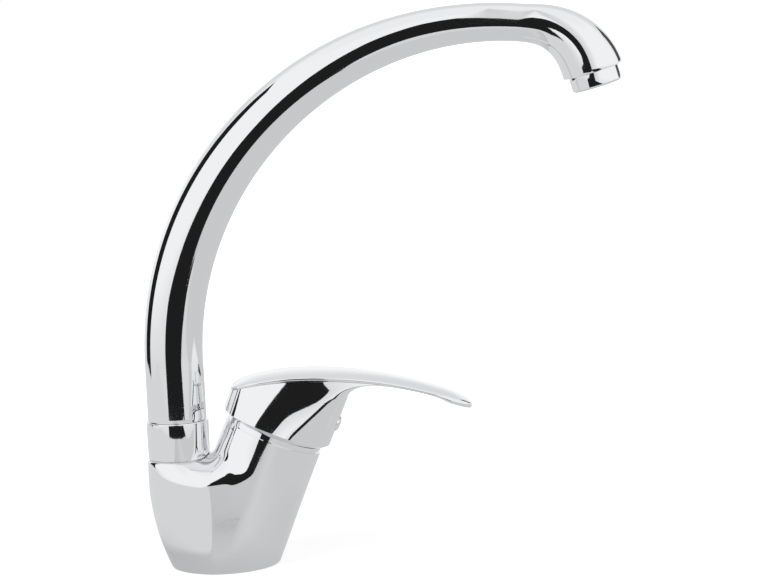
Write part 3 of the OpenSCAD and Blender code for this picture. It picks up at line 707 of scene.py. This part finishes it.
def top_edge(part, share, side):
    """Point (x, y) of the handle's widest outline."""
    if part == "back":
        along, across = swollen(math.pi * (0.5 + share), top_power)
        return np.array([mix(side_x, back_end, -along), top_half * across])
    if share < side_share:
        spot = cubic(
            np.array([side_x, top_half]),
            np.array([side_x + side_lead, top_half]),
            np.array([neck_x - neck_lead, tip_half + neck_swell]),
            np.array([neck_x, tip_half]),
            share / side_share,
        )
    else:
        angle = math.pi / 2 * (1 - (share - side_share) / (1 - side_share))
        spot = np.array([neck_x + tip_round * math.cos(angle), tip_half * math.sin(angle)])
    return spot * np.array([1, side])


def edge_thick(x):
    return edge_t + lip_t * ease((x - neck_x) / lip_lap)


def under(x):
    return spine(x) - crown - edge_thick(x)


def cap_ring(angle, height):
    """Point of the cap's side, which is round in front and fuller behind."""
    along, across = swollen(angle, cap_power if math.cos(angle) < 0 else 2)
    spot = rim + height * tower_up + cap_r * along * tower_out
    spot[1] = cap_side_r * across
    return spot


# %% [markdown]
# From the foot each line climbs the side of the cap. Towards the front it
# swings forwards under the lever, and meets the thin outer edge from below.

# %% The handle's skin
back_lines, side_lines = 96, 84
handle_lines = (
    [("back", i / back_lines, 1) for i in range(back_lines + 1)]
    + [("side", i / side_lines, -1) for i in range(1, side_lines + 1)]
    + [("side", i / side_lines, 1) for i in range(side_lines - 1, 0, -1)]
)
back_inset, tip_inset = 15, 13
keep_back, keep_front = back_end + back_inset, tip_x - tip_inset
bore_lip, turn_power, aim_h = 0.5, 0.8, 41
start_share, sweep_power, tuck_power, front_pace = 0.68, 1.6, 3, 1.5
wall_rows, under_rows, rim_rows, crown_rows = 12, 18, 8, 22
edge_round, crown_start = 0.5, 0.93


def handle_corner(column, row):
    part, share, side = handle_lines[column]
    edge = top_edge(part, share, side)
    low = np.array([*edge, under(edge[0])])
    if part == "back":
        angle, front = math.pi * (0.5 + share), 0.0
    else:
        angle = side * mix(math.pi / 2, 0, share**turn_power)
        front = ease(share * front_pace)
    foot = cap_ring(angle, cap_foot + cap_bevel)
    wall_top = mix(low, cap_ring(angle, aim_h), front)
    start = mix(foot, wall_top, start_share)
    if row == 0:
        return tower_point(angle, hollow_r, cap_foot)
    row -= 1
    if row == 0:
        return tower_point(angle, hollow_r + bore_lip, cap_foot)
    row -= 1
    if row <= wall_rows:
        return mix(foot, start, row / wall_rows)
    row -= wall_rows
    if row < under_rows:
        t = row / under_rows
        spot = mix(start, low, t**sweep_power)
        drop = (under(start[0]) - start[2]) * (1 - t) ** tuck_power
        sweep = np.array([spot[0], spot[1], under(spot[0]) - drop])
        return mix(mix(start, low, t), sweep, front)
    row -= under_rows
    keep = min(max(edge[0], keep_back), keep_front)
    if row <= rim_rows:
        bend = math.pi * (row / rim_rows - 0.5)
        inward = np.array([keep, 0]) - edge
        inset = inward / np.linalg.norm(inward) * edge_round * (1 - math.cos(bend))
        half = edge_thick(edge[0]) / 2
        return np.array([*(edge + inset), low[2] + half * (1 + math.sin(bend))])
    t = crown_start * (1 - (row - rim_rows - 1) / crown_rows)
    x = mix(keep, edge[0], t)
    return np.array([x, edge[1] * t, spine(x) - crown * t * t])


handle_rows = 2 + wall_rows + under_rows + 1 + rim_rows + crown_rows + 1
handle_skin = stretch("handle_skin", len(handle_lines), handle_rows, handle_corner)
fill_ends(handle_skin)
print("handle skin:", len(handle_skin.data.polygons), "faces")

# %% [markdown]
# Under the cap the casting is hollow, with a square-socketed boss in the
# middle that sits on the stem. The hollow is turned, trimmed by the curve of
# the roof, and cut out. The plug's recess is cut from the front.

# %% Hollow, boss and plug recess
hollow_side, hollow_top, hollow_top_r = 7, 27, 14.6
roof_t, roof_half = 3.7, 40
boss_r, boss_foot, boss_top = 8, 14.5, 40
socket_wide, socket_low = 7.2, 14
hollow = turn(
    "hollow",
    [
        (0, -past),
        (hollow_r, -past),
        (hollow_r, hollow_side),
        (hollow_top_r, hollow_top),
        (0, hollow_top),
    ],
)
hollow.data.transform(tower_frame)
roof = rod(
    back_curve - roof_t,
    -roof_half,
    roof_half,
    Matrix.Translation((crest_x * MM, 0, (crest_z - back_curve) * MM))
    @ Matrix.Rotation(math.pi / 2, 4, "X"),
    256,
)
combine(hollow, roof, "INTERSECT")
combine(hollow, rod(boss_r, boss_foot, boss_top, tower_frame, 64), "DIFFERENCE")
combine(handle_skin, hollow, "DIFFERENCE")
bpy.ops.object.select_all(action="DESELECT")
bpy.ops.mesh.primitive_cube_add(
    size=socket_wide * MM, location=(0, 0, (socket_low + socket_wide / 2) * MM)
)
socket = bpy.context.object
bpy.ops.object.transform_apply(location=True, rotation=True, scale=True)
socket.data.transform(tower_frame)
combine(handle_skin, socket, "DIFFERENCE")
plug_h, plug_r, plug_seat = 16.2, 3.9, 1.6
plug_gap, plug_dome_h, recess_depth = 0.1, 1.4, 5
plug_frame = (
    tower_frame
    @ Matrix.Translation(((cap_r - plug_seat) * MM, 0, plug_h * MM))
    @ Matrix.Rotation(math.pi / 2, 4, "Y")
)
recess = rod(plug_r + plug_gap, 0, recess_depth, plug_frame, 64)
combine(handle_skin, recess, "DIFFERENCE")
smooth(handle_skin, 28)
set_in(handle_skin, Matrix.Identity(4), "lever", "lever_handle", slot="chrome_handle")
print("finished handle:", len(handle_skin.data.polygons), "faces")

# %% [markdown]
# A small domed plug fills the recess and hides the grub screw. It is turned
# about its own axis, and the recess's frame then lays it in the cap's front.

# %% The plug
plug_dome = [
    (plug_r * math.cos(a), plug_seat + plug_dome_h * math.sin(a)) for a in quarter
]
plug = turn("plug", [(0, 0), (plug_r, 0)] + plug_dome, steps=96)
set_in(plug, plug_frame, "lever", "index_plug", slot="chrome_handle")
print("plug:", len(plug.data.polygons), "faces")

# %% [markdown]
# ## The aerator
#
# The aerator is a chromed ring screwed into the mouth, with a lip that holds a
# white plastic jet body and a steel screen. The ring is turned from one outline
# with its thread as a plain wall, in a frame of its own that looks down and a
# little forwards. The jet body and the screen lie in its shade and keep their
# CAD solids.

# %% Aerator ring
outlet_place = spout_line(spout_l)[0]
outlet_frame = Matrix.Translation(
    (outlet_place[0] * MM, 0, outlet_place[1] * MM)
) @ Matrix.Rotation(math.pi - outlet_tilt, 4, "Y")
aerator_r, aerator_h, thread_r, thread_l = 12.25, 7.5, 12, 5
inner_r, lip = 10.4, 1
aerator = turn(
    "aerator",
    [
        (inner_r, -thread_l),
        (thread_r, -thread_l),
        (thread_r, 0),
        (aerator_r, 0),
        (aerator_r, aerator_h - lip),
        (aerator_r - lip, aerator_h),
        (inner_r - lip, aerator_h),
        (inner_r - lip, aerator_h - lip),
        (inner_r, aerator_h - lip),
    ],
    rounding=0.1,
)
set_in(aerator, outlet_frame, "spout", "aerator_housing", slot="chrome_spout")
print("aerator ring:", len(aerator.data.polygons), "faces")

# %% [markdown]
# ## Finishes
#
# Chrome is nearly a mirror, and what makes it real is small: a faint orange
# peel left by the polishing, hair-thin scratches, and patches that are a
# little less clear where hands and water leave a film. A picture of scratches
# would show its seams on a bent skin, and noise through object space has none.
# Four helpers make groups and nodes short to write.


# %% Helpers for shader nodes
def new_group(name, inputs, outputs):
    group = bpy.data.node_groups.new(name, "ShaderNodeTree")
    for label, value in inputs.items():
        group.interface.new_socket(
            label, in_out="INPUT", socket_type="NodeSocketFloat"
        ).default_value = value
    for label, kind in outputs.items():
        group.interface.new_socket(label, in_out="OUTPUT", socket_type=kind)
    return group, group.nodes.new("NodeGroupInput"), group.nodes.new("NodeGroupOutput")


def node(tree, kind, links=(), **values):
    """Adds a node, sets its properties, and feeds its named or numbered inputs."""
    made = tree.nodes.new(kind)
    for label, value in values.items():
        setattr(made, label, value)
    for socket, source in links:
        if isinstance(source, (int, float, tuple)):
            made.inputs[socket].default_value = source
        else:
            tree.links.new(source, made.inputs[socket])
    return made


def spread(tree, source, low, high, to_low=0.0, to_high=1.0):
    """Carries a value from one range to another, held at both ends."""
    made = node(
        tree,
        "ShaderNodeMapRange",
        [
            ("Value", source),
            ("From Min", low),
            ("From Max", high),
            ("To Min", to_low),
            ("To Max", to_high),
        ],
    )
    return made.outputs["Result"]


def reckon(tree, operation, first, second):
    """Result of one sum of two values."""
    return node(
        tree, "ShaderNodeMath", [(0, first), (1, second)], operation=operation
    ).outputs[0]


# %% [markdown]
# One node group makes the film, the scratches and the peel as values, and every
# finish gets its own amounts. The film raises the roughness in wide patches,
# and the scratches are noise stretched into hairs and taken off the height.

# %% A node group for fine surface wear
wear, wear_in, wear_out = new_group(
    "Surface wear",
    {"Grain size": 1.0, "Roughness": 0.05, "Film": 0.03, "Scratch": 0.2},
    {"Roughness": "NodeSocketFloat", "Height": "NodeSocketFloat"},
)
spot = node(wear, "ShaderNodeTexCoord")
film = node(
    wear,
    "ShaderNodeTexNoise",
    [("Vector", spot.outputs["Object"]), ("Scale", 38.0), ("Detail", 5.0)],
)
film_map = spread(wear, film.outputs["Fac"], 0.42, 0.75)
film_part = reckon(wear, "MULTIPLY", film_map, wear_in.outputs["Film"])
rough = reckon(wear, "ADD", film_part, wear_in.outputs["Roughness"])
stretch_map = node(
    wear,
    "ShaderNodeMapping",
    [
        ("Vector", spot.outputs["Object"]),
        ("Rotation", (0.4, 0.9, 0.2)),
        ("Scale", (40.0, 900.0, 900.0)),
    ],
)
scratches = node(
    wear,
    "ShaderNodeTexNoise",
    [("Vector", stretch_map.outputs["Vector"]), ("Scale", 1.0), ("Detail", 2.0)],
)
thin = spread(wear, scratches.outputs["Fac"], 0.66, 0.72)
scratch_part = reckon(wear, "MULTIPLY", thin, wear_in.outputs["Scratch"])
peel = node(
    wear,
    "ShaderNodeTexNoise",
    [("Vector", spot.outputs["Object"]), ("Scale", 260.0), ("Detail", 2.0)],
)
peel_size = reckon(wear, "MULTIPLY", peel.outputs["Fac"], wear_in.outputs["Grain size"])
height = reckon(wear, "SUBTRACT", peel_size, scratch_part)
wear.links.new(rough, wear_out.inputs["Roughness"])
wear.links.new(height, wear_out.inputs["Height"])
print("wear group:", len(wear.nodes), "nodes")

# %% [markdown]
# Each finish is a Principled shader. Polished chrome has one colour all over,
# so its life comes from roughness and bump, and the wear group gives both. The
# new pieces get the finish of their slot, and so do the CAD solids that stay.

# %% Materials
bump_depth = 0.02 * MM


def finish_material(name, color, metallic, roughness, film, scratch, grain, bump):
    """Principled finish whose roughness and bump come from the wear group."""
    made = bpy.data.materials.new(name)
    made.use_nodes = True
    tree = made.node_tree
    shader = tree.nodes["Principled BSDF"]
    worn = node(tree, "ShaderNodeGroup", node_tree=wear)
    for label, value in (
        ("Grain size", grain),
        ("Roughness", roughness),
        ("Film", film),
        ("Scratch", scratch),
    ):
        worn.inputs[label].default_value = value
    shader.inputs["Base Color"].default_value = (*color, 1)
    shader.inputs["Metallic"].default_value = metallic
    tree.links.new(worn.outputs["Roughness"], shader.inputs["Roughness"])
    dents = node(
        tree,
        "ShaderNodeBump",
        [("Strength", bump), ("Distance", bump_depth), ("Height", worn.outputs["Height"])],
    )
    tree.links.new(dents.outputs["Normal"], shader.inputs["Normal"])
    return made


chrome_tint = (0.86, 0.87, 0.88)
finish_rows = {
    # colour, metallic, roughness, film, scratch, grain and bump
    "chrome_body": (chrome_tint, 1, 0.035, 0.03, 0.3, 1.0, 0.25),
    "chrome_spout": (chrome_tint, 1, 0.03, 0.03, 0.3, 0.8, 0.25),
    "chrome_handle": (chrome_tint, 1, 0.035, 0.05, 0.4, 1.0, 0.25),
    "raw_brass": ((0.76, 0.62, 0.33), 1, 0.28, 0.15, 1.0, 2.0, 0.6),
    "steel": ((0.62, 0.63, 0.65), 1, 0.3, 0.12, 1.0, 1.0, 0.5),
    "white_plastic": ((0.85, 0.85, 0.82), 0, 0.42, 0.1, 0.3, 2.0, 0.5),
    "cartridge_plastic": ((0.42, 0.44, 0.46), 0, 0.5, 0.1, 0.3, 2.0, 0.6),
    "white_ceramic": ((0.93, 0.93, 0.91), 0, 0.2, 0.05, 0.1, 0.5, 0.2),
    "black_rubber": ((0.04, 0.04, 0.045), 0, 0.65, 0.15, 0.2, 3.0, 0.8),
}
finishes = {name: finish_material(name, *row) for name, row in finish_rows.items()}
slot_of = {row["node"]: row["material_slot"] for row in frame["record"]["subparts"]}
for name, solid in frame["nodes"].items():
    solid.data.materials.clear()
    solid.data.materials.append(finishes[slot_of[name]])
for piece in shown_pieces():
    if "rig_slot" in piece:
        piece.data.materials.clear()
        piece.data.materials.append(finishes[piece["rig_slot"]])

# %% [markdown]
# ## The studio
#
# Chrome has no colour of its own: it shows the room. The room is white, and a
# little darker low down and behind. A table ends a little in front of the tap,
# and a tall black stand with a wedge-shaped foot stands beyond it. The other
# dark flags are far away. A picture of a real room would do this too, but cards
# can be moved until each band falls where it should. All of them are seen only
# in reflections.


# %% Two kinds of card
def plain_emission(name, level):
    made = bpy.data.materials.new(name)
    made.use_nodes = True
    tree = made.node_tree
    tree.nodes.clear()
    glow = node(tree, "ShaderNodeEmission", [("Color", (level, level, level, 1))])
    node(tree, "ShaderNodeOutputMaterial", [("Surface", glow.outputs[0])])
    return made


def card(name, corners, shade):
    """Card through a ring of points in metres, seen by reflections only."""
    bpy.ops.object.select_all(action="DESELECT")
    bpy.ops.mesh.primitive_circle_add(vertices=len(corners), radius=1, fill_type="NGON")
    made = bpy.context.object
    made.name = name
    for corner, spot in zip(made.data.vertices, corners):
        corner.co = spot
    made.data.materials.append(shade)
    made.visible_camera = False
    made.visible_diffuse = False
    made.visible_shadow = False
    made.visible_transmission = False
    print(name + ":", len(corners), "corners")


far_away = 12


def far_card(name, directions, shade):
    """Card far away, through compass angles and heights in degrees.

    Compass angle 0 is straight in front of the tap's near side, and grows to
    the right.
    """
    corners = []
    for compass, height in directions:
        bearing, rise = math.radians(compass), math.radians(height)
        flat = math.cos(rise)
        way = Vector(
            (math.sin(bearing) * flat, -math.cos(bearing) * flat, math.sin(rise))
        )
        corners.append(far_away * way)
    card(name, corners, shade)


# %% [markdown]
# The stand is one outline, a metre in front of the tap. The flags are so far
# off that only their direction counts, so they are given in compass angles and
# heights.

# %% The stand and the flags
black = plain_emission("black_card", 0.014)
dark_grey = plain_emission("dark_card", 0.08)
stand = [
    (-0.05, 1.05),
    (0.06, 1.05),
    (0.12, 0.85),
    (0.17, 0.6),
    (0.165, 0.3),
    (0.17, 0.04),
    (0.2, 0.0),
    (0.19, -0.08),
    (0.12, -0.2),
    (-0.5, -0.2),
    (-0.5, 0.06),
    (-0.4, 0.1),
    (-0.26, 0.17),
    (-0.16, 0.28),
    (-0.15, 0.5),
    (-0.14, 0.8),
]
stand_y = -1.0
card("camera_stand", [(x, stand_y, z) for x, z in stand], black)
far_card(
    "left_flag",
    [(-124, -12), (-98, -12), (-95, 0), (-84, 40), (-88, 47), (-112, 47), (-124, 0)],
    black,
)
far_card("back_flag", [(120, 5), (145, 5), (143, 35), (122, 35)], dark_grey)
low_ring = [
    (-2, -3.5),
    (2, -14),
    (12, -26),
    (20, -36),
    (30, -36),
    (37, -25),
    (41, -14),
    (38, -10),
    (27, -3.5),
]
far_card("low_flag", low_ring, black)

# %% [markdown]
# Low down, the chrome sees the table: a glowing card that stands in for the
# lit table top. The tap's shadow close to the foot is painted into its glow,
# and across the tap a painted shade makes it a little darker. It is kept
# apart from the floor that the camera sees, so that each can have its own
# brightness.

# %% The table top, as the chrome sees it
table_shade = plain_emission("table_top", 1.0)
tree = table_shade.node_tree
spot = node(tree, "ShaderNodeTexCoord")
away = node(
    tree, "ShaderNodeVectorMath", [(0, spot.outputs["Object"])], operation="LENGTH"
)
# Painted shadow: the table's glow is dimmer close to the tap's foot.
shadow = spread(tree, away.outputs["Value"], 0.03, 0.1, 0.66, 0.75)
apart = node(tree, "ShaderNodeSeparateXYZ", [("Vector", spot.outputs["Object"])])
across = spread(tree, apart.outputs["X"], -0.08, 0.08)


def tones(tree, source, levels, last):
    """Grey levels at places of a range from 0 to 1, and the level at its end."""
    ramp = node(tree, "ShaderNodeValToRGB", [("Fac", source)])
    stops = ramp.color_ramp.elements
    for place, level in levels:
        stop = stops[0] if place == 0 else stops.new(place)
        stop.color = (level, level, level, 1)
    stops[-1].color = (last, last, last, 1)
    return ramp.outputs["Color"]


# Painted shade: across the tap the table's glow is a little darker in a band.
shade_across_levels = [(0.0, 1.0), (0.12, 1.0), (0.22, 0.8), (0.5, 0.86), (0.75, 0.94)]
shade_across = tones(tree, across, shade_across_levels, 0.88)
tone = reckon(tree, "MULTIPLY", shadow, shade_across)
glow = next(made for made in tree.nodes if made.bl_idname == "ShaderNodeEmission")
tree.links.new(tone, glow.inputs["Strength"])
table_ring = [
    (-0.62, -0.4),
    (0.05, -0.4),
    (0.1, -0.38),
    (0.22, -0.38),
    (0.25, -0.27),
    (0.6, -0.27),
    (0.6, 0.6),
    (-0.62, 0.6),
]
card("table_top", [(x, y, 0) for x, y in table_ring], table_shade)

# %% [markdown]
# The camera sees a plain white floor. It is matt, takes a soft shadow, and
# glows a little more the farther it is from the tap, so that it fades into the
# white of the room. Reflections don't see it, because they have the table.

# %% The floor
floor_shade = bpy.data.materials.new("floor")
floor_shade.use_nodes = True
tree = floor_shade.node_tree
tree.nodes.clear()
path = node(tree, "ShaderNodeLightPath")
matt = node(tree, "ShaderNodeBsdfDiffuse", [("Color", (0.8, 0.8, 0.8, 1))])
spot = node(tree, "ShaderNodeTexCoord")
away = node(
    tree, "ShaderNodeVectorMath", [(0, spot.outputs["Object"])], operation="LENGTH"
)
lift = spread(tree, away.outputs["Value"], 0.1, 0.8, 0.5, 1.0)
shown = reckon(tree, "MULTIPLY", path.outputs["Is Camera Ray"], lift)
glow = node(tree, "ShaderNodeEmission", [("Strength", shown)])
both = node(tree, "ShaderNodeAddShader", [(0, matt.outputs[0]), (1, glow.outputs[0])])
node(tree, "ShaderNodeOutputMaterial", [("Surface", both.outputs[0])])

bpy.ops.mesh.primitive_plane_add(size=12, location=(0, 0, 0))
floor = bpy.context.object
floor.name = "floor"
floor.data.materials.append(floor_shade)
floor.visible_glossy = False
print("floor shader:", len(tree.nodes), "nodes")

# %% [markdown]
# The room is a world shader with three levels: white for the camera, dimmer for
# the light that falls on matt surfaces, and for reflections a tone that follows
# the direction. That tone is darker low down, in a band to the right of the
# front, straight up, and high up behind.

# %% The room
world = bpy.data.worlds.new("studio")
bpy.context.scene.world = world
world.use_nodes = True
tree = world.node_tree
tree.nodes.clear()
path = node(tree, "ShaderNodeLightPath")
way = node(tree, "ShaderNodeTexCoord")
apart = node(tree, "ShaderNodeSeparateXYZ", [("Vector", way.outputs["Generated"])])
under_level = spread(tree, apart.outputs["Z"], -0.2, 0.08, 0.75, 1.0)
over_level = spread(tree, apart.outputs["Z"], 0.8, 0.9, 1.0, 0.95)
facing = reckon(tree, "MULTIPLY", apart.outputs["Y"], -1.0)
compass = reckon(tree, "ARCTAN2", apart.outputs["X"], facing)
fade_place = spread(tree, compass, math.radians(-4), math.radians(24))
fade_levels = [(0.0, 1.0), (0.14, 0.75), (0.22, 0.75), (0.57, 0.86), (0.95, 1.0)]
fade = tones(tree, fade_place, fade_levels, 1.0)
darker = reckon(tree, "MINIMUM", fade, under_level)
behind_share = spread(tree, apart.outputs["Y"], 0.2, 0.6)
raised_share = spread(tree, apart.outputs["Z"], 0.2, 0.45)
wall_share = reckon(tree, "MULTIPLY", behind_share, raised_share)
back_level = spread(tree, wall_share, 0.0, 1.0, 1.0, 0.78)
upper = reckon(tree, "MINIMUM", back_level, over_level)
mirrored = reckon(tree, "MULTIPLY", darker, upper)
unseen = node(
    tree,
    "ShaderNodeMix",
    [("Factor", path.outputs["Is Glossy Ray"]), (2, 0.55), (3, mirrored)],
)
level = node(
    tree,
    "ShaderNodeMix",
    [("Factor", path.outputs["Is Camera Ray"]), (2, unseen.outputs[0]), (3, 1.0)],
)
sky = node(
    tree,
    "ShaderNodeBackground",
    [("Color", (1, 1, 1, 1)), ("Strength", level.outputs[0])],
)
node(tree, "ShaderNodeOutputWorld", [("Surface", sky.outputs[0])])
print("room shader:", len(tree.nodes), "nodes")

# %% [markdown]
# Two square lamps in front, one to each side, give the matt pieces their form
# and the floor its soft shadow. Chrome would show them as hard white squares,
# so reflections don't see them.


# %% Two lamps
def lamp(name, place, target, size, power):
    light = bpy.data.lights.new(name, "AREA")
    light.shape = "SQUARE"
    light.size = size
    light.energy = power
    made = bpy.data.objects.new(name, light)
    bpy.context.scene.collection.objects.link(made)
    made.location = place
    way = Vector(place) - Vector(target)
    made.rotation_euler = way.to_track_quat("Z", "Y").to_euler()
    made.visible_glossy = False
    print(name, "lamp:", power, "W")


lamp("key", (-0.9, -1.0, 1.3), (0.05, 0, 0.1), 0.9, 9)
lamp("fill", (1.2, -0.8, 0.9), (0.05, 0, 0.1), 0.9, 5)

# %% [markdown]
# ## The camera
#
# The photograph was taken almost square to the tap's side, from slightly above
# and a little to its front, with a long lens. Its angles were worked out from
# the ellipses that the round base, collar, rim and aerator make in it.

# %% Camera at the photograph's angle
azimuth, pitch, tilt = math.radians(4.0), math.radians(7.67), math.radians(-2.79)
camera_away = 1.5375
target = Vector((0.0833, 0, 0.1321))
back = Vector(
    (
        math.sin(azimuth) * math.cos(pitch),
        -math.cos(azimuth) * math.cos(pitch),
        math.sin(pitch),
    )
)
right = Vector((math.cos(azimuth), math.sin(azimuth), 0))
up = back.cross(right)
right, up = (
    right * math.cos(tilt) + up * math.sin(tilt),
    up * math.cos(tilt) - right * math.sin(tilt),
)
lens = bpy.data.cameras.new("camera")
lens.lens = 150
lens.sensor_width = 36
camera = bpy.data.objects.new("camera", lens)
bpy.context.scene.collection.objects.link(camera)
pose = Matrix((right, up, back)).transposed().to_4x4()
pose.translation = target + back * camera_away
camera.matrix_world = pose
bpy.context.scene.camera = camera
bpy.context.scene.view_settings.view_transform = "Standard"
print("camera at, in metres:", [round(v, 3) for v in pose.translation])
